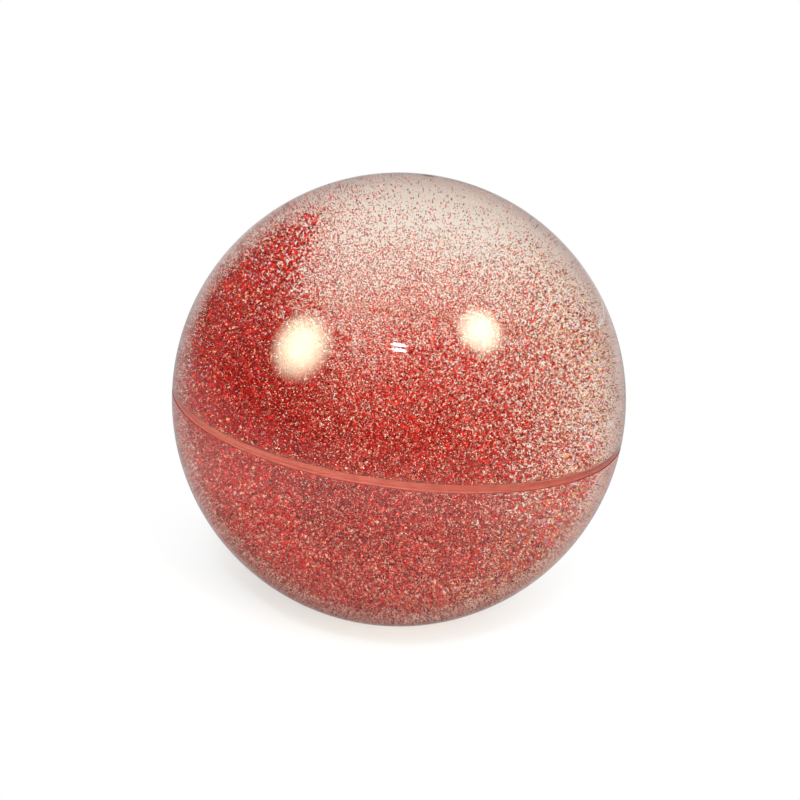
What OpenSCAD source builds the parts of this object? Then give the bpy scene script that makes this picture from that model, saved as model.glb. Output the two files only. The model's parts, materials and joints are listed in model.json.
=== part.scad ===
// Glitter water ball: two clear moulded half shells are bonded at the equator
// round a filling of water and glitter. The ball's centre is the origin, +Z runs
// through the fill plug, and the seam lies in the XY plane.

/* [Ball] */
// Outside diameter of the ball
ball_d = 100; // [80:1:130]
// Wall thickness of each half shell
wall = 6; // [5:0.5:9]

/* [Seam] */
// Thickness of the adhesive film between the two halves
bond_t = 0.25; // [0.15:0.05:0.4]
// Height of the locating tongue on the lower half's rim
tongue_h = 0.6; // [0.4:0.1:1.2]
// Width of the tongue across its root
tongue_w = 2; // [1.6:0.1:2.6]
// Lean of the tongue's flanks, in degrees
tongue_draft = 15; // [0:1:25]
// Chamfer on each outer edge of the seam
seam_chamfer = 0.15; // [0.1:0.05:0.4]
// Radius of the adhesive bead squeezed out along the inside of the seam
bead_r = 0.5; // [0.3:0.05:0.8]

/* [Fill plug] */
// Bore of the fill hole at the upper pole
fill_d = 2.5; // [2:0.1:5]
// Radial clearance of the plug in the fill hole
plug_clearance = 0.05; // [0.02:0.01:0.1]
// Chamfer that leads the plug into the hole
plug_lead = 0.4; // [0.2:0.1:0.8]
// Depth of the sealant drop over the plug
seal_t = 0.8; // [0.5:0.1:1.5]
// Sag of the sealant's hollow top
seal_sag = 0.15; // [0.05:0.05:0.3]

/* [Gate mark] */
// Diameter of the moulding gate's recess at the lower pole
gate_d = 3; // [2:0.1:5]
// Depth of the recess
gate_depth = 0.5; // [0.3:0.1:1]
// Diameter of the sheared stub inside the recess
stub_d = 1.2; // [0.8:0.1:1.6]
// Height of the stub above the recess floor
stub_h = 0.25; // [0.1:0.05:0.25]

/* [Filling] */
// Gap in which the filling turns, between it and the shells
swirl_gap = 0.3; // [0.2:0.05:0.5]
// Number of glitter flakes
flake_n = 480; // [120:20:600]
// Width of a flake across its flats
flake_w = 1; // [0.4:0.1:1.4]
// Thickness of a flake
flake_t = 0.15; // [0.05:0.05:0.3]
// Least depth of water between a flake and the filling's surface
flake_cover = 7.5; // [0.4:0.1:9]
// How far the flakes have sunk: 1 is evenly mixed, smaller is lower
flake_rise = 0.6; // [0.4:0.05:1]
// Number of arms in the swirl
swirl_arms = 2; // [1:1:5]
// Twist of the arms from pole to pole, in degrees
swirl_twist = 240; // [0:10:540]
// How tightly flakes bunch into the arms, in degrees
swirl_bunch = 18; // [0:1:24]
// Lean of the cloud's axis towards +X, in degrees, so that the flakes lie thickest low on the other side
cloud_lean = 30; // [0:5:60]

/* [Hidden] */
$fn = 180;

ball_r = ball_d / 2;
cavity_r = ball_r - wall;
rim_r = ball_r - wall / 2;
bond_r = ball_r - seam_chamfer;
water_r = cavity_r - swirl_gap;
plug_r = fill_d / 2 - plug_clearance;
plug_top = ball_r - seal_t;
gate_floor = ball_r - gate_depth;
seal_rim = sqrt(pow(ball_r, 2) - pow(fill_d / 2, 2));
seal_bowl_r = (pow(fill_d / 2, 2) + pow(seal_sag, 2)) / (2 * seal_sag);

// Flakes above the first level float, and those below the second have settled.
float_level = 0.3;
settle_level = -0.45;
flake_r = flake_w / sqrt(3);
cloud_r = water_r - flake_cover - flake_r;

// Steps of an evenly spread sequence in three dimensions, and of two more for the flakes' lean.
plastic = 1.2207440846;
golden = 0.6180339887;
silver = 0.4142135624;

function step(i, rate) = (0.5 + i * rate) % 1;

// Height of flake i along the cloud's axis, as a share of its radius, from -1 at the foot to 1 at the top.
// The sine evens out the slices of a sphere, which are smaller near its poles.
function flake_level(i) = 2 * sin(asin(1 - 2 * pow(step(i, 1 / plastic), flake_rise)) / 3);

// Azimuth of flake i, bunched into arms that wind round the axis
function flake_azimuth(i) =
    let (even = 360 * step(i, pow(plastic, -2)))
    even - swirl_bunch * sin(swirl_arms * even) + swirl_twist * flake_level(i) / 2;

// Distance of flake i from the axis
function flake_reach(i) =
    cloud_r * sqrt(1 - pow(flake_level(i), 2)) * sqrt(step(i, pow(plastic, -3)));

function floats(i) = flake_level(i) > float_level;
function settles(i) = flake_level(i) < settle_level;

FLOATING = [for (i = [0:flake_n - 1]) if (floats(i)) i];
SETTLED = [for (i = [0:flake_n - 1]) if (settles(i)) i];
SWIRLING = [for (i = [0:flake_n - 1]) if (!floats(i) && !settles(i)) i];

// The half space above the plane z = level
module above(level) {
    translate([-ball_d, -ball_d, level]) cube(2 * ball_d);
}

// One clear wall as a whole hollow sphere
module hollow_ball() {
    difference() {
        sphere(ball_r);
        sphere(cavity_r);
    }
}

// Ring of the tongue's section, standing on the plane z = base and grown sideways
module tongue_ring(base, grow) {
    root = tongue_w / 2 + grow;
    crest = root - tongue_h * tan(tongue_draft);
    foot = bond_t;
    section = [[-root, -foot], [root, -foot], [root, 0], [crest, tongue_h], [-crest, tongue_h], [-root, 0]];
    rotate_extrude() translate([rim_r, base]) polygon(section);
}

// Ring that takes a 45 degree chamfer off the upper half's outer seam edge
module seam_chamfer_ring() {
    edge = seam_chamfer;
    rotate_extrude()
        translate([ball_r, bond_t / 2])
            polygon([[-2 * edge, -edge], [edge, -edge], [edge, 2 * edge]]);
}

module upper_shell() {
    color([0.97, 0.93, 0.88, 0.35])
        difference() {
            intersection() {
                hollow_ball();
                above(bond_t / 2);
            }
            tongue_ring(bond_t / 2, bond_t);
            seam_chamfer_ring();
            translate([0, 0, cavity_r - wall / 2]) cylinder(d = fill_d, h = 2 * wall);
        }
}

module lower_shell() {
    color([0.96, 0.86, 0.82, 0.4])
        union() {
            difference() {
                hollow_ball();
                above(-bond_t / 2);
                mirror([0, 0, 1]) seam_chamfer_ring();
                translate([0, 0, -gate_floor - wall]) cylinder(d = gate_d, h = wall);
            }
            tongue_ring(-bond_t / 2, 0);
            translate([0, 0, -gate_floor - stub_h]) cylinder(d = stub_d, h = stub_h + gate_depth);
        }
}

module seam_bond() {
    color([0.8, 0.38, 0.31])
        union() {
            difference() {
                union() {
                    translate([0, 0, -bond_t / 2]) cylinder(r = bond_r, h = bond_t);
                    tongue_ring(bond_t / 2, bond_t);
                }
                sphere(cavity_r);
                tongue_ring(-bond_t / 2, 0);
            }
            intersection() {
                rotate_extrude() translate([cavity_r, 0]) circle(bead_r);
                sphere(cavity_r);
            }
        }
}

module fill_plug() {
    color([0.95, 0.88, 0.82, 0.7])
        union() {
            translate([0, 0, cavity_r]) cylinder(r1 = plug_r - plug_lead, r2 = plug_r, h = plug_lead);
            translate([0, 0, cavity_r + plug_lead]) cylinder(r = plug_r, h = plug_top - cavity_r - plug_lead);
        }
}

module plug_seal() {
    color([0.9, 0.75, 0.68, 0.6])
        difference() {
            translate([0, 0, plug_top]) cylinder(d = fill_d, h = seal_rim - plug_top);
            translate([0, 0, seal_rim - seal_sag + seal_bowl_r]) sphere(seal_bowl_r);
        }
}

// One six-sided flake at its place in the leaning swirl, turned its own way
module flake(i) {
    rotate([0, cloud_lean, 0])
        rotate([0, 0, flake_azimuth(i)])
            translate([flake_reach(i), 0, cloud_r * flake_level(i)])
                rotate([180 * step(i, golden), 0, 360 * step(i, silver)])
                    cylinder(r = flake_r, h = flake_t, center = true, $fn = 6);
}

module floating_glitter() {
    color([0.9, 0.45, 0.4]) for (i = FLOATING) flake(i);
}

module swirling_glitter() {
    color([0.8, 0.16, 0.12]) for (i = SWIRLING) flake(i);
}

module settled_glitter() {
    color([0.7, 0.1, 0.08]) for (i = SETTLED) flake(i);
}

// The water fills the cavity round the bead and every flake
module water_fill() {
    color([0.98, 0.9, 0.84, 0.25])
        difference() {
            sphere(water_r);
            rotate_extrude() translate([cavity_r, 0]) circle(bead_r + swirl_gap);
            for (i = [0:flake_n - 1]) flake(i);
        }
}

upper_shell();
lower_shell();
seam_bond();
fill_plug();
plug_seal();
water_fill();
floating_glitter();
swirling_glitter();
settled_glitter();
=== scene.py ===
"""Looks of the glitter water ball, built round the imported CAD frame.

The two clear half shells, the seam's bond, the sealant drop, the water and the glitter are
modelled anew, finer than the CAD solids they stand for. The fill plug keeps its CAD shape
and gets a finish here. All lengths are metres in the row frame.
"""

import json
import logging
import math
from collections.abc import Callable, Sequence
from dataclasses import dataclass, replace
from enum import Enum

import bpy
import numpy as np
from mathutils import Matrix, Vector

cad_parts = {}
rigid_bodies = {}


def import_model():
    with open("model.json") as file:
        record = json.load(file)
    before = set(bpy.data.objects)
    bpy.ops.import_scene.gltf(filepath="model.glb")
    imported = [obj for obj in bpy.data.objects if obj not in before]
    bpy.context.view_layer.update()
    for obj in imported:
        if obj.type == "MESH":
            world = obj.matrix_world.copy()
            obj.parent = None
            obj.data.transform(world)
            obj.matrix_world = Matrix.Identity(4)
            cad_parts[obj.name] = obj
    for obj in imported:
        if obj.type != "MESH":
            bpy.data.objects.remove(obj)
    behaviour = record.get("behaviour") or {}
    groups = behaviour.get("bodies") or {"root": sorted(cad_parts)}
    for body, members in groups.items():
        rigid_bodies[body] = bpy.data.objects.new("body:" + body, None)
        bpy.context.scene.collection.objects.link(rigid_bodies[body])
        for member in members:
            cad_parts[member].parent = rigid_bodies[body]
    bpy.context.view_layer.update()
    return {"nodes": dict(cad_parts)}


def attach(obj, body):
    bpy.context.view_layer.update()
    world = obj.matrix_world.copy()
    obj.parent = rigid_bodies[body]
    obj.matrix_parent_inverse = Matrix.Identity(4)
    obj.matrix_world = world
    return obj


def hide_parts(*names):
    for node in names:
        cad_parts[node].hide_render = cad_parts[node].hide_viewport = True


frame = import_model()

LOG = logging.getLogger("water_ball")
MM = 0.001

Colour = tuple[float, float, float]
Point = tuple[float, float]
Place = tuple[float, float, float]
Span = tuple[float, float]

WHITE: Colour = (1.0, 1.0, 1.0)
NOISE_OCTAVES = 3.0
# Painted shade darkens the seam's groove on the -Y side of this line; beyond it the seam's edges are clear
# cut edges.
PAINTED_SEAM_TO = -12 * MM


class Half(Enum):
    """The two moulded halves of the ball."""

    UPPER = "upper"
    LOWER = "lower"


class Body(Enum):
    """CAD bodies that pieces ride on."""

    SHELL = "shell"
    CONTENTS = "contents"


class Slot(Enum):
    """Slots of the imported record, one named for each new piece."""

    CLEAR_UPPER = "clear_upper"
    CLEAR_LOWER = "clear_lower"
    BOND = "bond"
    SEALANT = "sealant"
    WATER = "water"
    GLITTER = "glitter"


class Tone(Enum):
    """Places of the flakes' colours on the tone scale, which runs from 0 to 1."""

    # Brown is painted shadow: fine flakes seen dark against the light.
    BROWN = 0.08
    DARK = 0.12
    DEEP = 0.28
    RED = 0.44
    BRIGHT = 0.68
    # Pale is painted glint.
    PALE_FROM = 0.74
    PALE_TO = 0.86
    GOLD_FROM = 0.89
    GOLD_TO = 0.94
    LILAC = 0.96

    @property
    def colour(self) -> str:
        """The film's name for the colour at this place."""
        return self.name.split("_")[0].lower()


def between(low: "Amount", high: "Amount", share: "Amount") -> "Amount":
    """Runs from low to high with a share, for numbers, arrays and wires alike."""
    return low + (high - low) * share


class Wire:
    """One output socket of a shader tree, with arithmetic that adds Math nodes."""

    def __init__(self, graph: "Graph", socket: bpy.types.NodeSocket | None) -> None:
        """Keeps the graph and the socket, which an output node doesn't have."""
        self.graph = graph
        self.socket = socket

    def _math(self, operation: str, first: "Feed", second: "Feed") -> "Wire":
        """Adds one Math node on two values."""
        return self.graph.node("ShaderNodeMath", {"operation": operation}, {0: first, 1: second})

    def __add__(self, other: "Feed") -> "Wire":
        """Sum of two values."""
        return self._math("ADD", self, other)

    def __sub__(self, other: "Feed") -> "Wire":
        """Difference of two values."""
        return self._math("SUBTRACT", self, other)

    def __rsub__(self, other: "Feed") -> "Wire":
        """Difference with a plain number on the left."""
        return self._math("SUBTRACT", other, self)

    def __mul__(self, other: "Feed") -> "Wire":
        """Product of two values."""
        return self._math("MULTIPLY", self, other)

    # Sums and products are the same from either side.
    __radd__ = __add__
    __rmul__ = __mul__

    def larger(self, other: "Feed") -> "Wire":
        """The larger of two values."""
        return self._math("MAXIMUM", self, other)


Feed = Wire | float | Colour | tuple[float, ...]
Amount = Wire | float | np.ndarray


class Graph:
    """A shader tree under construction."""

    def __init__(self, tree: bpy.types.NodeTree) -> None:
        """Takes a tree and empties it."""
        self.tree = tree
        tree.nodes.clear()

    def node(
        self,
        kind: str,
        settings: dict[str, object] | None = None,
        sockets: dict[str | int, Feed] | None = None,
        out: str | int = 0,
    ) -> Wire:
        """Adds one node.

        Args:
            kind: Node type.
            settings: Node properties, set first; stops holds a ramp's stops.
            sockets: Values or links for the inputs, by name or number.
            out: The output that the wire carries.

        Returns:
            A wire on the chosen output.
        """
        made = self.tree.nodes.new(kind)
        for key, value in (settings or {}).items():
            if key == "stops":
                self._set_stops(made, value)
            else:
                setattr(made, key, value)
        for key, value in (sockets or {}).items():
            self._feed(made.inputs[key], value)
        return Wire(self, made.outputs[out] if made.outputs else None)

    def _set_stops(self, ramp: bpy.types.Node, stops: Sequence[tuple[float, Colour]]) -> None:
        """Gives a colour ramp its stops, from low to high."""
        elements = ramp.color_ramp.elements
        while len(elements) < len(stops):
            elements.new(1.0)
        for element, (place, colour) in zip(elements, stops):
            element.position = place
            element.color = (*colour, 1.0)

    def _feed(self, socket: bpy.types.NodeSocket, value: Feed) -> None:
        """Links a wire to an input, or sets the input's own value."""
        if isinstance(value, Wire):
            self.tree.links.new(value.socket, socket)
        elif socket.type == "RGBA":
            socket.default_value = (*value, 1.0)
        else:
            socket.default_value = value

    def blend(self, factor: Feed, first: Feed, second: Feed) -> Wire:
        """Mixes two colours by the second one's share."""
        return self.node("ShaderNodeMix", {"data_type": "RGBA"}, {0: factor, 6: first, 7: second}, out=2)

    def mix_shaders(self, factor: Feed, first: Wire, second: Wire) -> Wire:
        """Mixes two shaders by a factor."""
        return self.node("ShaderNodeMixShader", {}, {0: factor, 1: first, 2: second})

    def step(self, value: Wire, low: float, high: float) -> Wire:
        """A smooth step from 0 at low to 1 at high."""
        settings = {"interpolation_type": "SMOOTHSTEP"}
        sockets = {"Value": value, "From Min": low, "From Max": high}
        return self.node("ShaderNodeMapRange", settings, sockets)

    def place(self) -> Wire:
        """Object coordinates."""
        return self.node("ShaderNodeTexCoord", out="Object")

    def part(self, vector: Wire, axis: str) -> Wire:
        """One component of a vector."""
        return self.node("ShaderNodeSeparateXYZ", {}, {0: vector}, out=axis)

    def length(self, vector: Wire) -> Wire:
        """Length of a vector."""
        return self.node("ShaderNodeVectorMath", {"operation": "LENGTH"}, {0: vector}, out="Value")

    def ray(self, kind: str) -> Wire:
        """1 for rays of one kind, and 0 for others."""
        return self.node("ShaderNodeLightPath", out=f"Is {kind} Ray")

    def noise(self, scale: float) -> Wire:
        """Noise from 0 to 1 on Object coordinates, with a scale in waves to the metre."""
        sockets = {"Vector": self.place(), "Scale": scale, "Detail": NOISE_OCTAVES}
        return self.node("ShaderNodeTexNoise", {}, sockets, out="Fac")

    def principled(self, **inputs: Feed) -> Wire:
        """Adds a Principled shader, its inputs given by name with _ for a space."""
        sockets = {name.replace("_", " "): value for name, value in inputs.items()}
        return self.node("ShaderNodeBsdfPrincipled", {}, sockets)

    def clear(self, tint: Colour) -> Wire:
        """Adds a Transparent shader of a tint."""
        return self.node("ShaderNodeBsdfTransparent", {}, {"Color": tint})

    def surface(self, shader: Wire) -> None:
        """Links the finished shader to a material's output."""
        self.node("ShaderNodeOutputMaterial", {}, {"Surface": shader})


class Finish:
    """Base of every finish, which makes one material."""

    name: str

    def material(self) -> bpy.types.Material:
        """Makes the material and paints its tree, or finds it if it is already made.

        Returns:
            The finished material.
        """
        known = bpy.data.materials.get(self.name)
        if known:
            return known
        made = bpy.data.materials.new(self.name)
        made.use_nodes = True
        self.paint(Graph(made.node_tree))
        return made

    def paint(self, graph: Graph) -> None:
        """Builds the shader tree."""
        raise NotImplementedError


@dataclass(frozen=True)
class ClearPlastic(Finish):
    """Soft clear plastic that bends light and lets shadows through."""

    name: str
    tint: Colour
    edge_tint: Colour
    shade: Colour
    smear: float
    gloss: float = 0.01
    ior: float = 1.5
    haze_weight: float = 0.0
    smear_scale: float = 60.0
    smear_span: Span = (0.4, 0.75)
    edge_span: Span = (0.42, 0.82)

    def paint(self, graph: Graph) -> None:
        """Builds the shader tree: glass for sight, a tinted veil for shadows."""
        smear = graph.step(graph.noise(self.smear_scale), *self.smear_span)
        facing = graph.node("ShaderNodeLayerWeight", out="Facing")
        colour = graph.blend(graph.step(facing, *self.edge_span), self.tint, self.edge_tint)
        glass = graph.principled(
            Base_Color=colour,
            Roughness=self.gloss + self.smear * smear,
            IOR=self.ior,
            Transmission_Weight=1.0 - self.haze_weight,
        )
        graph.surface(graph.mix_shaders(graph.ray("Shadow"), glass, graph.clear(self.shade)))


@dataclass(frozen=True)
class ClearBody(Finish):
    """A clear body set in another: nothing bends, with a faint tint and a trace of milk."""

    name: str
    tint: Colour
    milk: Colour
    milk_weight: float
    drift_scale: float = 40.0
    gloss: float = 0.5

    def paint(self, graph: Graph) -> None:
        """Builds the shader tree: a clear veil with drifting milk."""
        weight = self.milk_weight * graph.noise(self.drift_scale)
        milk = graph.principled(Base_Color=self.milk, Roughness=self.gloss)
        graph.surface(graph.mix_shaders(weight, graph.clear(self.tint), milk))


@dataclass(frozen=True)
class StreakedGlue(Finish):
    """Base of the seam's finishes, whose colour runs in streaks: cut glue, painted shade and painted
    reflection.
    """

    name: str
    pale: Colour
    deep: Colour
    streak_scale: float
    gloss: float
    streak_span: Span = (0.3, 0.7)

    def cured(self, graph: Graph) -> Wire:
        """Shader of the streaked colour itself."""
        streak = graph.step(graph.noise(self.streak_scale), *self.streak_span)
        colour = graph.blend(streak, self.deep, self.pale)
        return graph.principled(Base_Color=colour, Roughness=self.gloss)


@dataclass(frozen=True)
class BondGlue(StreakedGlue):
    """Glue film: salmon on the -Y side near the outside, a painted reflection of red glitter; clear
    elsewhere.
    """

    name: str = "bond_glue"
    pale: Colour = (0.54, 0.118, 0.077)
    deep: Colour = (0.46, 0.08, 0.052)
    streak_scale: float = 300.0
    gloss: float = 0.45
    veil: Colour = (0.998, 0.995, 0.99)
    body: float = 0.94
    # The painted colour is full on the -Y side of the first depth and gone beyond the second.
    cloudy_to: float = -10 * MM
    clear_from: float = 2 * MM
    clear_within: float = 47.5 * MM
    blur: float = 0.1 * MM

    def paint(self, graph: Graph) -> None:
        """Builds the shader tree: the painted colour near the outside on the -Y side, and clear elsewhere."""
        place = graph.place()
        depth = graph.part(place, "Y")
        level = graph.node("ShaderNodeVectorMath", {"operation": "MULTIPLY"}, {0: place, 1: (1.0, 1.0, 0.0)})
        outer = graph.step(graph.length(level), self.clear_within - self.blur, self.clear_within + self.blur)
        painted_share = self.body * outer * (1.0 - graph.step(depth, self.cloudy_to, self.clear_from))
        weight = painted_share * (1.0 - graph.ray("Shadow"))
        graph.surface(graph.mix_shaders(weight, graph.clear(self.veil), self.cured(graph)))


@dataclass(frozen=True)
class ShadedGroove(BondGlue):
    """Painted shade in the fine groove along the seam: dark red on the -Y side, fading to clear."""

    name: str = "seam_groove"
    pale: Colour = (0.26, 0.022, 0.014)
    deep: Colour = (0.15, 0.012, 0.008)
    streak_scale: float = 250.0
    gloss: float = 0.55
    body: float = 1.0
    cloudy_to: float = -18 * MM
    clear_from: float = PAINTED_SEAM_TO


@dataclass(frozen=True)
class CutEdge(StreakedGlue):
    """Clean cut edge of clear glue: a pale line from outside, and clear from within the plastic."""

    name: str = "cut_edge"
    pale: Colour = (0.8, 0.56, 0.47)
    deep: Colour = (0.7, 0.4, 0.32)
    streak_scale: float = 250.0
    gloss: float = 0.4

    def paint(self, graph: Graph) -> None:
        """Builds the shader tree: cured glue on the outer side, nothing on the inner one."""
        inner = graph.node("ShaderNodeNewGeometry", out="Backfacing")
        weight = inner.larger(graph.ray("Shadow"))
        graph.surface(graph.mix_shaders(weight, self.cured(graph), graph.clear(WHITE)))


@dataclass(frozen=True)
class GlitterFilm(Finish):
    """Dyed metallic film under a clear lacquer, each flake with its own tone; pale is painted glint, brown
    painted shadow.
    """

    name: str = "glitter_film"
    # Painted shadow.
    brown: Colour = (0.5, 0.16, 0.11)
    dark: Colour = (0.32, 0.005, 0.003)
    deep: Colour = (0.66, 0.008, 0.005)
    red: Colour = (0.98, 0.016, 0.009)
    bright: Colour = (1.0, 0.1, 0.07)
    # Painted glint.
    pale: Colour = (1.0, 0.68, 0.56)
    gold: Colour = (1.0, 0.7, 0.32)
    lilac: Colour = (0.8, 0.52, 0.82)
    metallic: float = 0.95
    gloss: float = 0.22
    lacquer: float = 0.18
    lacquer_gloss: float = 0.12

    def paint(self, graph: Graph) -> None:
        """Builds the shader tree: metal whose colour follows the flake's tone."""
        own = graph.node("ShaderNodeAttribute", {"attribute_name": GlitterCloud.TONE}, out="Fac")
        stops = [(tone.value, getattr(self, tone.colour)) for tone in Tone]
        colour = graph.node("ShaderNodeValToRGB", {"stops": stops}, {"Fac": own})
        film = graph.principled(
            Base_Color=colour,
            Metallic=self.metallic,
            Roughness=self.gloss,
            Coat_Weight=self.lacquer,
            Coat_Roughness=self.lacquer_gloss,
        )
        graph.surface(film)


@dataclass(frozen=True)
class PaleFloor(Finish):
    """Matt white studio sweep that fades to the white room away from the ball."""

    name: str = "pale_floor"
    pale: Colour = (0.95, 0.95, 0.95)
    deep: Colour = (0.93, 0.93, 0.93)
    grain_scale: float = 8.0
    gloss: float = 0.9
    near: float = 24 * MM
    far: float = 76 * MM

    def paint(self, graph: Graph) -> None:
        """Builds the shader tree: matt white near the ball that turns to plain white."""
        colour = graph.blend(graph.noise(self.grain_scale), self.deep, self.pale)
        paper = graph.principled(Base_Color=colour, Roughness=self.gloss)
        away = graph.step(graph.length(graph.place()), self.near, self.far)
        white = graph.node("ShaderNodeEmission", {}, {"Color": WHITE, "Strength": 1.0})
        seen = graph.ray("Camera").larger(graph.ray("Glossy")).larger(graph.ray("Transmission"))
        graph.surface(graph.mix_shaders(seen * away, paper, white))


@dataclass(frozen=True)
class LampGlow(Finish):
    """Soft box front: an even light, whose mirror image has a bright core in a soft halo."""

    name: str
    light: float
    image: float
    image_tint: Colour
    reach: float
    height_share: float
    halo: float = 0.27
    core_from: float = 0.1
    core_to: float = 0.9
    edge: float = 0.6

    def paint(self, graph: Graph) -> None:
        """Builds the shader tree: one strength for what it lights, one for its mirror image."""
        shares = (1.0, self.height_share, 1.0)
        evened = graph.node("ShaderNodeVectorMath", {"operation": "DIVIDE"}, {0: graph.place(), 1: shares})
        away = graph.length(evened)
        core = 1.0 - graph.step(away, self.core_from * self.reach, self.core_to * self.reach)
        rim = 1.0 - graph.step(away, self.edge * self.reach, self.reach)
        seen = self.image * between(self.halo, 1.0, core) * rim
        mirrored = graph.ray("Glossy")
        front = 1.0 - graph.node("ShaderNodeNewGeometry", out="Backfacing")
        strength = between(self.light, seen, mirrored) * front
        colour = graph.blend(mirrored, WHITE, self.image_tint)
        graph.surface(graph.node("ShaderNodeEmission", {}, {"Color": colour, "Strength": strength}))


class Bench:
    """Edit-mode modelling steps that the sub-assemblies share."""

    @staticmethod
    def clear() -> None:
        """Deselects every object."""
        for item in bpy.context.view_layer.objects:
            item.select_set(False)

    @staticmethod
    def name_it(name: str) -> bpy.types.Object:
        """Names the active object and its mesh, and returns the object."""
        bpy.context.object.name = bpy.context.object.data.name = name
        return bpy.context.object

    @staticmethod
    def edit() -> None:
        """Enters edit mode with everything selected."""
        bpy.ops.object.mode_set(mode="EDIT")
        bpy.ops.mesh.select_all(action="SELECT")

    @staticmethod
    def close(merge: float) -> None:
        """Merges corners closer than a distance, turns the faces outwards and leaves edit mode."""
        bpy.ops.mesh.select_all(action="SELECT")
        bpy.ops.mesh.remove_doubles(threshold=merge)
        bpy.ops.mesh.normals_make_consistent(inside=False)
        bpy.ops.object.mode_set(mode="OBJECT")

    @classmethod
    def turned(cls, name: str, section: Sequence[Point], steps: int) -> bpy.types.Object:
        """Draws a section point by point and spins it about the Z axis.

        A section that starts on the axis stays open, and any other is closed.

        Args:
            name: Name of the piece.
            section: Points of the section, as distance from the axis and height.
            steps: Steps of the spin.

        Returns:
            The turned piece, at the origin.
        """
        cls.clear()
        speck, merge, crease = 0.1 * MM, 0.001 * MM, math.radians(30.0)
        bpy.ops.mesh.primitive_plane_add(size=speck)
        made = cls.name_it(name)
        cls.edit()
        bpy.ops.mesh.merge(type="CENTER")
        start = section[0]
        bpy.ops.transform.translate(value=(start[0], 0.0, start[1]))
        route = [*section, start] if start[0] > 0.0 else section
        for here, there in zip(route, route[1:]):
            move = (there[0] - here[0], 0.0, there[1] - here[1])
            bpy.ops.mesh.extrude_region_move(TRANSFORM_OT_translate={"value": move})
        bpy.ops.mesh.select_all(action="SELECT")
        bpy.ops.mesh.remove_doubles(threshold=merge)
        bpy.ops.mesh.spin(steps=steps, angle=math.tau, center=(0, 0, 0), axis=(0, 0, 1))
        cls.close(merge)
        bpy.ops.object.shade_smooth_by_angle(angle=crease)
        return made

    @staticmethod
    def dress(
        piece: bpy.types.Object,
        finishes: Sequence[Finish],
        choose: Callable[[bpy.types.MeshPolygon], Finish] | None = None,
    ) -> None:
        """Gives a piece its finishes.

        Args:
            piece: The piece.
            finishes: Its finishes, in the order of its materials.
            choose: Names the finish of a face; without it, all faces get the first.
        """
        for finish in finishes:
            piece.data.materials.append(finish.material())
        if choose:
            for face in piece.data.polygons:
                face.material_index = finishes.index(choose(face))

    @staticmethod
    def hand_over(piece: bpy.types.Object, body: Body, slot: Slot, nodes: Sequence[str]) -> None:
        """Puts a piece on its body and reports it.

        Args:
            piece: The finished piece.
            body: The CAD body it rides on.
            slot: Not used.
            nodes: CAD nodes it stands for.
        """
        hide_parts(*nodes)
        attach(piece, body.value)
        LOG.info("%s: %d faces, on %s", piece.name, len(piece.data.polygons), body.value)


def arc(radius: float, start: float, end: float, steps: int, middle: Point = (0.0, 0.0)) -> list[Point]:
    """Points along an arc.

    Args:
        radius: Radius of the arc.
        start: First angle above the horizon, in radians.
        end: Last angle, in radians.
        steps: Number of steps.
        middle: Middle of the arc, as distance from the axis and height.

    Returns:
        Points as distance from the axis and height.
    """
    angles = np.linspace(start, end, steps + 1)
    return [(middle[0] + radius * math.cos(a), middle[1] + radius * math.sin(a)) for a in angles]


@dataclass(frozen=True)
class BallSizes:
    """Driving sizes of the ball, as in the CAD source."""

    ball_r: float = 50 * MM
    wall: float = 6 * MM
    bond_t: float = 0.25 * MM
    tongue_h: float = 0.6 * MM
    tongue_w: float = 2 * MM
    tongue_draft: float = math.radians(15.0)
    seam_chamfer: float = 0.15 * MM
    bead_r: float = 0.5 * MM
    fill_r: float = 1.25 * MM
    gate_r: float = 1.5 * MM
    gate_depth: float = 0.5 * MM
    stub_r: float = 0.6 * MM
    stub_h: float = 0.25 * MM
    swirl_gap: float = 0.3 * MM
    flake_cover: float = 7.5 * MM
    cloud_lean: float = math.radians(30.0)
    # A bedded piece sinks into its neighbour, or stands off it, by this trace, so that no faces coincide.
    ease: float = 0.015 * MM

    @property
    def cavity_r(self) -> float:
        """Radius of the inner wall."""
        return self.ball_r - self.wall

    @property
    def rim_r(self) -> float:
        """Radius of the middle of the rim."""
        return self.ball_r - self.wall / 2

    @property
    def land(self) -> float:
        """Height of a rim's flat face above or below the seam plane."""
        return self.bond_t / 2

    @property
    def chamfer_z(self) -> float:
        """Height at which the outer seam edge's chamfer meets the outside."""
        return self.land + self.seam_chamfer

    @property
    def edge_r(self) -> float:
        """Radius at which the chamfer meets the rim."""
        return self.ball_r - self.seam_chamfer

    def rim(self, base: float, grow: float) -> list[Point]:
        """Points across a rim, from the outer chamfer to the inner foot of the tongue.

        Args:
            base: Height of the rim's flat face.
            grow: Sideways growth of the tongue, which makes the groove.

        Returns:
            Points as distance from the axis and height.
        """
        root = self.tongue_w / 2 + grow
        crest = root - self.tongue_h * math.tan(self.tongue_draft)
        top = base + self.tongue_h
        return [
            (self.edge_r, base),
            (self.rim_r + root, base),
            (self.rim_r + crest, top),
            (self.rim_r - crest, top),
            (self.rim_r - root, base),
        ]


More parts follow.
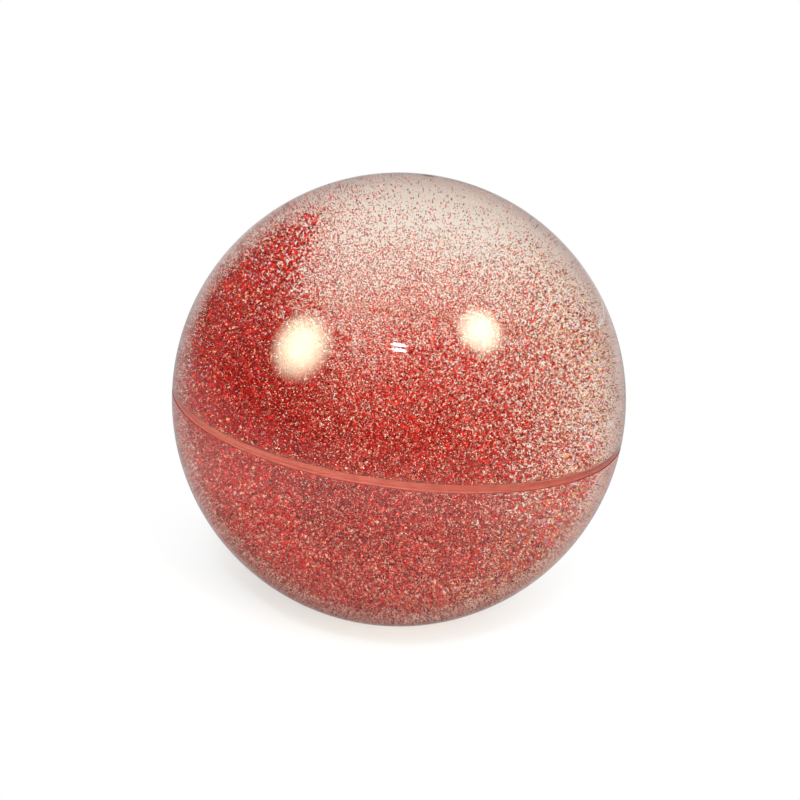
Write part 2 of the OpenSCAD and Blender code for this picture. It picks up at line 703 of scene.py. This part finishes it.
@dataclass
class HalfShell:
    """One moulded half of the clear ball."""

    half: Half
    sizes: BallSizes
    skin: Finish
    wet_wall: Finish
    bonded_rim: Finish
    # The groove's finish is painted shade on the -Y side.
    groove: Finish
    cut_edge: Finish
    spin_steps: int = 256
    arc_steps: int = 80

    def build(self) -> None:
        """Models, dresses and hands over the half."""
        upper = self.half is Half.UPPER
        section = self.upper_section() if upper else self.lower_section()
        piece = Bench.turned(f"{self.half.value}_half", section, self.spin_steps)
        finishes = [self.skin, self.wet_wall, self.bonded_rim, self.groove, self.cut_edge]
        Bench.dress(piece, finishes, self.finish_of)
        slot = Slot.CLEAR_UPPER if upper else Slot.CLEAR_LOWER
        Bench.hand_over(piece, Body.SHELL, slot, [f"{self.half.value}_shell"])

    def upper_section(self) -> list[Point]:
        """Closed section of the upper half, with the groove and the fill hole."""
        size = self.sizes
        hole = size.fill_r + size.ease
        edge = math.asin(size.chamfer_z / size.ball_r)
        outside = arc(size.ball_r, math.acos(hole / size.ball_r), edge, self.arc_steps)
        lip = math.asin(size.land / size.cavity_r)
        inside = arc(size.cavity_r, lip, math.acos(hole / size.cavity_r), self.arc_steps)
        return [*outside, *size.rim(size.land, size.bond_t), *inside]

    def lower_section(self) -> list[Point]:
        """Open section of the lower half, with the tongue and the gate mark."""
        size = self.sizes
        floor = -(size.ball_r - size.gate_depth)
        gate = [
            (0.0, floor - size.stub_h),
            (size.stub_r, floor - size.stub_h),
            (size.stub_r, floor),
            (size.gate_r, floor),
        ]
        edge = math.asin(size.chamfer_z / size.ball_r)
        outside = arc(size.ball_r, -math.acos(size.gate_r / size.ball_r), -edge, self.arc_steps)
        lip = math.asin(size.land / size.cavity_r)
        inside = arc(size.cavity_r, -lip, -math.pi / 2, self.arc_steps)
        inside[-1] = (0.0, -size.cavity_r)
        return [*gate, *outside, *size.rim(-size.land, 0.0), *inside]

    def finish_of(self, face: bpy.types.MeshPolygon) -> Finish:
        """Names a face's finish.

        Args:
            face: A face of the half.

        Returns:
            The finish of the outside, the inner wall, a bonded face or a chamfer.
        """
        size = self.sizes
        x, y, z = face.center
        reach = face.center.length
        if reach < size.cavity_r + size.ease:
            return self.wet_wall
        if reach < size.edge_r and abs(z) < size.tongue_h + size.bond_t:
            return self.bonded_rim
        if z > 0.0 and math.hypot(x, y) < size.fill_r + 2 * size.ease:
            return self.bonded_rim
        if abs(z) < size.chamfer_z and y > PAINTED_SEAM_TO:
            return self.cut_edge
        # The lower chamfer takes the groove's finish, painted shade on the -Y side.
        return self.groove if -size.chamfer_z < z < 0.0 else self.skin


@dataclass
class Seam:
    """The adhesive film in the joint, and the bead squeezed out along its inside."""

    sizes: BallSizes
    glue: Finish
    wet_wall: Finish
    cut_edge: Finish
    bead: Finish
    spin_steps: int = 256
    bead_steps: int = 10

    def build(self) -> None:
        """Models, dresses and hands over the film and the bead."""
        film = Bench.turned("seam_film", self.film_section(), self.spin_steps)
        Bench.dress(film, [self.glue, self.wet_wall, self.cut_edge], self.film_finish)
        bead = Bench.turned("seam_bead", self.bead_section(), self.spin_steps)
        Bench.dress(bead, [self.bead])
        for piece in (film, bead):
            Bench.hand_over(piece, Body.SHELL, Slot.BOND, ["seam_bond"])

    def film_finish(self, face: bpy.types.MeshPolygon) -> Finish:
        """Names a face's finish.

        Args:
            face: A face of the film.

        Returns:
            The finish of the film's inner end, its clean outer end or the glue.
        """
        size = self.sizes
        x, y, _ = face.center
        reach = math.hypot(x, y)
        if reach < size.cavity_r + size.ease:
            return self.wet_wall
        return self.cut_edge if reach > size.edge_r - size.ease and y > PAINTED_SEAM_TO else self.glue

    def film_section(self) -> list[Point]:
        """Closed section of the film, bedded a trace into both rims."""
        size = self.sizes
        face = size.land + size.ease
        lower = size.rim(-face, -size.ease)
        upper = size.rim(face, size.bond_t + size.ease)
        return [*lower, (size.cavity_r, -face), (size.cavity_r, face), *reversed(upper)]

    def bead_section(self) -> list[Point]:
        """Closed section of the bead, which clings to the inner wall."""
        size = self.sizes
        wall = size.cavity_r - size.ease
        return arc(size.bead_r, 1.5 * math.pi, 0.5 * math.pi, self.bead_steps, (wall, 0.0))


@dataclass
class FillPort:
    """The plug in the fill hole and the sealant drop over it."""

    sizes: BallSizes
    plug: Finish
    drop_skin: Finish
    drop_side: Finish
    seal_t: float = 0.8 * MM
    seal_sag: float = 0.15 * MM
    spin_steps: int = 64
    bowl_steps: int = 12
    # A face whose normal rises more than this belongs to the drop's top.
    top_rise: float = 0.5

    def build(self) -> None:
        """Models, dresses and hands over the drop, and dresses the CAD plug."""
        drop = Bench.turned("sealant_drop", self.section(), self.spin_steps)
        Bench.dress(drop, [self.drop_skin, self.drop_side], self.drop_finish)
        Bench.hand_over(drop, Body.SHELL, Slot.SEALANT, ["plug_seal"])
        plug = frame["nodes"]["fill_plug"]
        plug.data.materials.clear()
        Bench.dress(plug, [self.plug])
        LOG.info("fill_plug: CAD shape with a new finish")

    def drop_finish(self, face: bpy.types.MeshPolygon) -> Finish:
        """Names the finish of a face of the drop."""
        return self.drop_skin if face.normal.z > self.top_rise else self.drop_side

    def section(self) -> list[Point]:
        """Open section of the drop, from its foot to the hollow of its top."""
        size = self.sizes
        foot = size.ball_r - self.seal_t + size.ease
        rim = math.sqrt(size.ball_r**2 - size.fill_r**2)
        bowl_r = (size.fill_r**2 + self.seal_sag**2) / (2 * self.seal_sag)
        middle = rim - self.seal_sag + bowl_r
        lip = math.asin(size.fill_r / bowl_r)
        bowl = arc(bowl_r, lip - math.pi / 2, -math.pi / 2, self.bowl_steps, (0.0, middle))
        bowl[-1] = (0.0, rim - self.seal_sag)
        return [(0.0, foot), (size.fill_r, foot), *bowl]


@dataclass
class WaterFill:
    """The clear water, one round body with a groove that clears the bead."""

    sizes: BallSizes
    finish: Finish
    film_gap: float = 0.05 * MM
    spin_steps: int = 128
    arc_steps: int = 64
    groove_steps: int = 8

    def build(self) -> None:
        """Models, dresses and hands over the water."""
        piece = Bench.turned("water", self.section(), self.spin_steps)
        Bench.dress(piece, [self.finish])
        Bench.hand_over(piece, Body.CONTENTS, Slot.WATER, ["water_fill"])

    def section(self) -> list[Point]:
        """Open section from the lower pole to the upper one, round the bead."""
        radius = self.sizes.cavity_r - self.film_gap
        clear = self.sizes.bead_r + 2 * self.film_gap
        lip = math.asin(clear / radius)
        low = arc(radius, -math.pi / 2, -lip, self.arc_steps)
        high = arc(radius, lip, math.pi / 2, self.arc_steps)
        groove = arc(clear, 1.5 * math.pi, 0.5 * math.pi, self.groove_steps, (radius, 0.0))
        low[0] = (0.0, -radius)
        high[-1] = (0.0, radius)
        return [*low, *groove[1:-1], *high]


@dataclass(frozen=True)
class Plume:
    """A rounded puff of flakes in the cloud."""

    middle: Place
    width: float
    height: float
    cover: float
    firmness: float = 1.5

    def at(self, places: np.ndarray) -> np.ndarray:
        """Cover that the puff adds at each place."""
        away = places - np.array(self.middle)
        flat = (away[:, 0] ** 2 + away[:, 1] ** 2) / self.width**2
        return self.cover * np.exp(-((flat + away[:, 2] ** 2 / self.height**2) ** self.firmness))


@dataclass
class GlitterCloud:
    """Fine film flakes that hang in the water, thick below and thin above.

    A cover is the share of a sight line that flakes hide in each millimetre of depth.
    """

    TONE = "tone"
    MAP = "OFBake"
    # Corners of a face in its cell of the map.
    CELL = ((0.1, 0.1), (0.9, 0.1), (0.5, 0.9))

    sizes: BallSizes
    finish: Finish
    seed: int = 11
    flake_w: float = 0.46 * MM
    stray_w: float = 0.17 * MM
    flake_t: float = 0.02 * MM
    size_spread: float = 0.3
    edge_fade: float = 1.6 * MM
    # The bed's top is a plane that falls towards +X and rises towards +Y, and fades over a depth.
    bed_cover: float = 0.17
    bed_top: float = -30 * MM
    bed_fall: tuple[float, float] = (1.136, -0.493)
    bed_fade: float = 18.8 * MM
    stray_cover: float = 0.0125
    stray_top: float = 31 * MM
    stray_fade: float = 16 * MM
    # Fine dust lies round the cloud; it thins towards the top and towards +X.
    dust_cover: float = 0.04
    dust_reach: float = 38.6 * MM
    dust_depth: float = 5.6 * MM
    dust_fall: float = 0.9
    dust_fade: float = 80 * MM
    # Below this cover flakes grow finer, down to the width of a stray.
    full_cover: float = 0.06
    plumes: tuple[Plume, ...] = (
        Plume((5.2 * MM, 2.3 * MM, -30 * MM), 16.6 * MM, 37.1 * MM, 0.175),
        Plume((-28 * MM, 5.2 * MM, 33 * MM), 9.4 * MM, 25.9 * MM, 0.17),
        Plume((34 * MM, -1.4 * MM, -30 * MM), 12 * MM, 21.2 * MM, 0.25),
        Plume((25.5 * MM, 12 * MM, 1.8 * MM), 12.7 * MM, 25 * MM, 0.038),
    )
    float_level: float = 0.3
    settle_level: float = -0.45
    most_per_piece: int = 48_000
    tone_steps: int = 24
    # Pale flakes are painted glints, and brown ones painted shadow, more of them towards +X.
    pale_share: float = 0.14
    stray_pale_share: float = 0.33
    stray_brown_share: float = 0.12
    side_brown_share: float = 0.5
    fringe_share: float = 0.32
    fringe_least: float = 0.2
    fringe_from: float = 20 * MM
    fringe_to: float = 34 * MM
    # On the shaded side, at -X above the seam, flakes are darker and fewer are pale.
    shade_from: float = 4 * MM
    shade_depth: float = 22 * MM
    shade_foot: float = -14 * MM
    shade_rise: float = 12 * MM
    shade_tone: float = 0.22
    shade_pale: float = 0.55

    def build(self) -> None:
        """Models, dresses and hands over the flakes, layer by layer."""
        random = np.random.default_rng(self.seed)
        places, widths = self.scatter(random)
        corners, faces = self.flake()
        lean = self.sizes.cloud_lean
        level = places @ np.array((math.sin(lean), 0.0, math.cos(lean))) / self.reach
        layers = {
            "floating": level > self.float_level,
            "swirling": (level <= self.float_level) & (level >= self.settle_level),
            "settled": level < self.settle_level,
        }
        for layer, belongs in layers.items():
            found = np.flatnonzero(belongs)
            for number, start in enumerate(range(0, len(found), self.most_per_piece), 1):
                share = found[start : start + self.most_per_piece]
                name = f"{layer}_flakes_{number}"
                piece = self.layer_piece(name, places[share], widths[share], corners, faces, random)
                Bench.dress(piece, [self.finish])
                Bench.hand_over(piece, Body.CONTENTS, Slot.GLITTER, [f"{layer}_glitter"])
        LOG.info("%d flakes", len(places))

    @property
    def reach(self) -> float:
        """Greatest distance of a flake from the ball's centre."""
        return self.sizes.cavity_r - self.sizes.swirl_gap - self.sizes.flake_cover

    def flake(self) -> tuple[np.ndarray, np.ndarray]:
        """Models one square flake, folded a trace along one diagonal above and the other below.

        Returns:
            Its corners, and its faces as triples of corner numbers.
        """
        Bench.clear()
        bpy.ops.mesh.primitive_plane_add(size=self.flake_w)
        flake = Bench.name_it("flake_pattern")
        Bench.edit()
        bpy.ops.mesh.duplicate()
        bpy.ops.mesh.flip_normals()
        bpy.ops.mesh.quads_convert_to_tris(quad_method="FIXED_ALTERNATE")
        bpy.ops.mesh.select_all(action="INVERT")
        bpy.ops.mesh.quads_convert_to_tris(quad_method="FIXED")
        bpy.ops.object.mode_set(mode="OBJECT")
        for corner in flake.data.vertices:
            corner.co.z = math.copysign(self.flake_t / 2, corner.co.x * corner.co.y)
        bpy.ops.object.mode_set(mode="EDIT")
        Bench.close(self.flake_t / 10)
        corners = np.array([corner.co for corner in flake.data.vertices])
        faces = np.array([tuple(face.vertices) for face in flake.data.polygons])
        bpy.data.objects.remove(flake)
        return corners, faces

    def covers(self, places: np.ndarray) -> tuple[np.ndarray, np.ndarray, np.ndarray]:
        """Cover at each place.

        Args:
            places: Points in the row frame.

        Returns:
            The covers of the bed with its plumes, of fine strays and of dust, for each point.
        """
        x, y, z = places.T
        away = np.linalg.norm(places, axis=1)
        top = self.bed_top - self.bed_fall[0] * x - self.bed_fall[1] * y
        bed = self.bed_cover * self.ease_in((top - z) / self.bed_fade + 0.5)
        stray = self.stray_cover * self.ease_in((self.stray_top - z) / self.stray_fade)
        outer = self.ease_in((away - self.dust_reach + self.dust_depth) / (self.dust_depth / 2))
        dust = self.dust_cover * outer * self.ease_in(0.5 - (z + self.dust_fall * x) / self.dust_fade)
        inside = self.ease_in((self.reach - away) / self.edge_fade)
        return inside * (bed + sum(plume.at(places) for plume in self.plumes)), stray, dust

    @staticmethod
    def ease_in(share: np.ndarray) -> np.ndarray:
        """Rises smoothly from 0 to 1."""
        share = np.clip(share, 0.0, 1.0)
        return share * share * (3.0 - 2.0 * share)

    @staticmethod
    def crowd(cover: np.ndarray | float, width: np.ndarray | float) -> np.ndarray | float:
        """Flakes of a width in a cubic millimetre; one that lies at random hides half its area."""
        return 2.0 * cover / (width / MM) ** 2

    def scatter(self, random: np.random.Generator) -> tuple[np.ndarray, np.ndarray]:
        """Scatters the flakes' middles through the water; the finest stay afloat longest.

        Args:
            random: Seeded source of numbers.

        Returns:
            One point and one width for each flake.
        """
        radius = self.dust_reach
        most = self.bed_cover + sum(plume.cover for plume in self.plumes)
        peak = self.crowd(most, self.flake_w) + self.crowd(self.stray_cover + self.dust_cover, self.stray_w)
        places = random.uniform(-radius, radius, (int(peak * (2 * radius / MM) ** 3), 3))
        places = places[np.linalg.norm(places, axis=1) < radius]
        full, stray, dust = self.covers(places)
        firm = self.ease_in(full / self.full_cover)
        widths = between(self.stray_w, self.flake_w, firm)
        bulk = self.crowd(full, widths)
        chance = random.random(len(places)) * peak
        taken = chance < bulk + self.crowd(stray * (1.0 - firm) + dust, self.stray_w)
        widths = np.where(chance < bulk, widths, self.stray_w)
        return places[taken], widths[taken]

    def layer_piece(
        self,
        name: str,
        places: np.ndarray,
        widths: np.ndarray,
        corners: np.ndarray,
        faces: np.ndarray,
        random: np.random.Generator,
    ) -> bpy.types.Object:
        """Copies the flake to every place, each turned and sized its own way.

        Args:
            name: Name of the piece.
            places: Middles of the flakes.
            widths: Their widths.
            corners: Corners of one flake.
            faces: Faces of one flake.
            random: Seeded source of numbers.

        Returns:
            The piece.
        """
        count = len(places)
        quaternion = random.normal(size=(count, 4))
        quaternion /= np.linalg.norm(quaternion, axis=1)[:, None]
        size = widths / self.flake_w * (1.0 + self.size_spread * random.uniform(-1.0, 1.0, count))
        axis = quaternion[:, None, 1:]
        across = 2.0 * np.cross(axis, corners)
        turned = corners + quaternion[:, None, :1] * across + np.cross(axis, across)
        points = turned * size[:, None, None] + places[:, None, :]
        numbers = faces[None, :, :] + (np.arange(count) * len(corners))[:, None, None]
        mesh = bpy.data.meshes.new(name)
        mesh.from_pydata(points.reshape(-1, 3), [], numbers.reshape(-1, 3))
        self.tone_flakes(mesh, places, widths, len(faces), random)
        mesh.update()
        piece = bpy.data.objects.new(name, mesh)
        bpy.context.scene.collection.objects.link(piece)
        return piece

    def tone_flakes(
        self,
        mesh: bpy.types.Mesh,
        places: np.ndarray,
        widths: np.ndarray,
        faces: int,
        random: np.random.Generator,
    ) -> None:
        """Gives every flake one of a few tones, and its faces a cell of that tone in the map.

        Most flakes are dark to bright red. Some are pale as painted glints, more of the fine ones are pale or
        brown as painted shadow, more so at +X, and towards the cloud's sides, most of all at +X, some have a
        rainbow tint.

        Args:
            mesh: Mesh of a layer.
            places: Middles of its flakes.
            widths: Their widths.
            faces: Number of faces of a flake.
            random: Seeded source of numbers.
        """
        count = len(places)
        x, _, z = places.T
        sideways = self.ease_in(x / self.fringe_to)
        rainbow = self.ease_in((np.hypot(x, z) - self.fringe_from) / (self.fringe_to - self.fringe_from))
        rainbow *= between(self.fringe_least, 1.0, sideways)
        fine = np.clip((self.flake_w - widths) / (self.flake_w - self.stray_w), 0.0, 1.0)
        shaded = self.ease_in(-(x + self.shade_from) / self.shade_depth)
        shaded *= self.ease_in((z - self.shade_foot) / self.shade_rise)
        pale = between(self.pale_share, self.stray_pale_share, fine)
        pale *= 1.0 - self.shade_pale * shaded
        fringe = pale + self.fringe_share * rainbow
        brown = between(self.stray_brown_share, self.side_brown_share, sideways)
        draw = random.random(count)
        reds = Tone.BRIGHT.value - Tone.DARK.value - self.shade_tone * shaded
        share = Tone.DARK.value + reds * random.random(count)
        share = np.where(draw > 1.0 - brown * fine, 0.0, share)
        share = np.where(draw < fringe, random.uniform(Tone.GOLD_FROM.value, 1.0, count), share)
        glint_tones = random.uniform(Tone.PALE_FROM.value, Tone.PALE_TO.value, count)
        share = np.where(draw < pale, glint_tones, share)
        step = np.minimum(share * self.tone_steps, self.tone_steps - 1).astype(int)
        tones = np.repeat((step + 0.5) / self.tone_steps, faces).astype(np.float32)
        mesh.attributes.new(self.TONE, "FLOAT", "FACE").data.foreach_set("value", tones)
        cell = np.stack([step, np.arange(count) % self.tone_steps], 1)
        spots = (cell[:, None, :] + np.array(self.CELL)[None, :, :]) / self.tone_steps
        spots = np.repeat(spots[:, None], faces, axis=1).astype(np.float32)
        mesh.uv_layers.new(name=self.MAP).data.foreach_set("uv", spots.ravel())


@dataclass(frozen=True)
class SoftBox:
    """One soft box of the studio, round or flattened."""

    name: str
    direction: Place
    half_angle: float
    light: float
    image: float
    image_tint: Colour
    height_share: float = 1.0
    distance: float = 0.9
    sides: int = 64

    def build(self) -> None:
        """Models the soft box, facing the ball."""
        Bench.clear()
        reach = self.distance * math.tan(math.radians(self.half_angle))
        bpy.ops.mesh.primitive_circle_add(vertices=self.sides, radius=reach, fill_type="TRIFAN")
        box = Bench.name_it(self.name)
        Bench.edit()
        bpy.ops.transform.resize(value=(1.0, self.height_share, 1.0))
        bpy.ops.object.mode_set(mode="OBJECT")
        towards = Vector(self.direction).normalized()
        box.location = towards * self.distance
        box.rotation_mode = "QUATERNION"
        box.rotation_quaternion = (-towards).to_track_quat("Z", "Y")
        glow = LampGlow(
            f"{self.name}_glow", self.light, self.image, self.image_tint, reach, self.height_share
        )
        Bench.dress(box, [glow])
        box.visible_camera = False
        box.visible_transmission = False


@dataclass
class Studio:
    """Floor, soft boxes, surroundings and camera."""

    sizes: BallSizes
    elevation: float = 18.4
    roll: float = 7.5
    eye_distance: float = 227.5 * MM
    lens: float = 45.36
    aim_right: float = 0.23 * MM
    aim_up: float = -0.11 * MM
    near_clip: float = 0.01
    far_clip: float = 50.0
    floor_r: float = 200 * MM
    floor_sides: int = 96
    ambient: float = 0.5
    dim: float = 0.08
    below: float = 0.45
    underneath: float = 0.15
    sweep_level: float = 0.75
    sweep_top: float = 0.35
    front_level: float = 0.2
    overhead_level: float = 1.85
    # Heights and depths of a heading, from -1 to 1, over which the room's parts fade in.
    horizon: Span = (-0.25, 0.0)
    underneath_to: Span = (-0.75, -0.5)
    sweep_depth: Span = (0.66, 0.82)
    sweep_rise: Span = (-0.15, 0.1)
    overhead_rise: Span = (0.1, 0.6)
    white_depth: Span = (0.05, 0.35)
    max_bounces: int = 14
    glossy_bounces: int = 6
    transmission_bounces: int = 12
    transparent_bounces: int = 16

    def build(self) -> None:
        """Sets up the whole studio."""
        self.floor()
        for box in self.soft_boxes():
            box.build()
        self.surroundings()
        self.camera()
        self.render_settings()

    def floor(self) -> None:
        """Lays the pale floor under the ball."""
        Bench.clear()
        bpy.ops.mesh.primitive_circle_add(vertices=self.floor_sides, radius=self.floor_r, fill_type="TRIFAN")
        floor = Bench.name_it("floor")
        floor.location.z = -self.sizes.ball_r
        Bench.dress(floor, [PaleFloor()])
        floor.visible_glossy = False

    def soft_boxes(self) -> list[SoftBox]:
        """The two boxes and the pair of small bars whose reflections show on the ball."""
        left = SoftBox(
            name="left_box", direction=(-0.738, -0.491, 0.463), half_angle=17.0,
            light=6.2, image=27.0, image_tint=(0.92, 1.0, 0.7),
        )
        right = SoftBox(
            name="right_box", direction=(0.515, -0.435, 0.739), half_angle=13.0,
            light=9.6, image=25.0, image_tint=(0.93, 1.0, 0.74),
        )
        upper = SoftBox(
            name="upper_bar", direction=(-0.05, -0.733, 0.68), half_angle=4.2, height_share=0.235,
            light=250.0, image=90.0, image_tint=(0.9, 0.9, 1.0),
        )
        return [left, right, upper, replace(upper, name="lower_bar", direction=(-0.05, -0.761, 0.649))]

    def surroundings(self) -> None:
        """Makes a room that looks white, mirrors dimly and lights the filling most from above."""
        scene = bpy.context.scene
        world = bpy.data.worlds.new("white_room")
        scene.world = world
        world.use_nodes = True
        graph = Graph(world.node_tree)
        heading = graph.node("ShaderNodeTexCoord", out="Generated")
        height = graph.part(heading, "Z")
        depth = graph.part(heading, "Y")
        camera = graph.ray("Camera")
        through = graph.ray("Transmission")
        above = graph.step(height, *self.horizon)
        fall = graph.step(height, *self.sweep_rise)
        sweep = between(self.sweep_level, self.sweep_top, fall) * above * graph.step(depth, *self.sweep_depth)
        shaded = between(self.underneath, self.below, graph.step(height, *self.underneath_to))
        mirrored = self.dim + (1.0 - self.dim) * sweep + (shaded - self.dim) * (1.0 - above)
        lit = between(self.front_level, self.overhead_level, graph.step(height, *self.overhead_rise))
        inside = between(lit, 1.0, graph.step(depth, *self.white_depth))
        room = between(mirrored, inside, through)
        seen = graph.ray("Glossy").larger(through)
        strength = between(between(self.ambient, room, seen), 1.0, camera)
        light = graph.node("ShaderNodeBackground", {}, {"Color": WHITE, "Strength": strength})
        graph.node("ShaderNodeOutputWorld", {}, {"Surface": light})

    def camera(self) -> None:
        """Places the camera at the photo's angle."""
        lift = math.radians(self.elevation)
        tip = math.radians(self.roll)
        back = Vector((0.0, -math.cos(lift), math.sin(lift)))
        side = Vector((1.0, 0.0, 0.0))
        rise = back.cross(side)
        right = math.cos(tip) * side + math.sin(tip) * rise
        up = math.cos(tip) * rise - math.sin(tip) * side
        eye = back * self.eye_distance + right * self.aim_right + up * self.aim_up
        data = bpy.data.cameras.new("photo_camera")
        data.lens = self.lens
        data.clip_start = self.near_clip
        data.clip_end = self.far_clip
        camera = bpy.data.objects.new("photo_camera", data)
        camera.matrix_world = Matrix((right, up, back)).transposed().to_4x4()
        camera.location = eye
        bpy.context.scene.collection.objects.link(camera)
        bpy.context.scene.camera = camera

    def render_settings(self) -> None:
        """Chooses the plain view transform and enough light bounces."""
        scene = bpy.context.scene
        scene.view_settings.view_transform = "Standard"
        scene.cycles.use_denoising = True
        scene.cycles.max_bounces = self.max_bounces
        scene.cycles.glossy_bounces = self.glossy_bounces
        scene.cycles.transmission_bounces = self.transmission_bounces
        scene.cycles.transparent_max_bounces = self.transparent_bounces
        scene.cycles.caustics_reflective = False
        scene.cycles.caustics_refractive = False


def main() -> None:
    """Builds the ball's pieces and the studio in order."""
    logging.basicConfig(level=logging.INFO, format="%(name)s: %(message)s")
    sizes = BallSizes()
    wet_wall = ClearPlastic(
        name="wet_wall", tint=(0.99, 0.98, 0.96), edge_tint=(0.98, 0.96, 0.94),
        shade=(0.97, 0.95, 0.93), smear=0.01, gloss=0.0, ior=1.128,
    )
    upper_skin = ClearPlastic(
        name="upper_skin", tint=(0.95, 0.91, 0.83), edge_tint=(0.55, 0.41, 0.36),
        shade=(0.94, 0.92, 0.88), smear=0.015,
    )
    lower_skin = ClearPlastic(
        name="lower_skin", tint=(0.95, 0.87, 0.8), edge_tint=(0.56, 0.26, 0.21),
        shade=(0.92, 0.88, 0.85), smear=0.02, haze_weight=0.022,
    )
    drop_skin = ClearPlastic(
        name="sealant_skin", tint=(0.93, 0.87, 0.8), edge_tint=(0.8, 0.62, 0.55),
        shade=(0.94, 0.9, 0.86), smear=0.03, gloss=0.02,
    )
    water = ClearBody(
        name="still_water", tint=(0.995, 0.985, 0.97), milk=(0.95, 0.9, 0.88), milk_weight=0.004,
    )
    bonded_rim = replace(water, name="bonded_rim")
    bead = ClearBody(
        name="squeezed_bead", tint=(0.985, 0.95, 0.92), milk=(0.95, 0.75, 0.68),
        milk_weight=0.04, drift_scale=300.0,
    )
    plug = ClearBody(
        name="plug_rubber", tint=(0.98, 0.95, 0.92), milk=(0.88, 0.7, 0.62),
        milk_weight=0.06, drift_scale=900.0,
    )
    drop_side = ClearBody(
        name="sealant_side", tint=(0.5, 0.3, 0.25), milk=(0.5, 0.26, 0.2),
        milk_weight=0.6, drift_scale=900.0,
    )
    edge = CutEdge()
    for half, skin in ((Half.UPPER, upper_skin), (Half.LOWER, lower_skin)):
        HalfShell(half, sizes, skin, wet_wall, bonded_rim, ShadedGroove(), edge).build()
    Seam(sizes, BondGlue(), wet_wall, edge, bead).build()
    FillPort(sizes, plug, drop_skin, drop_side).build()
    WaterFill(sizes, water).build()
    GlitterCloud(sizes, GlitterFilm()).build()
    Studio(sizes).build()


if __name__ == "__main__":
    main()
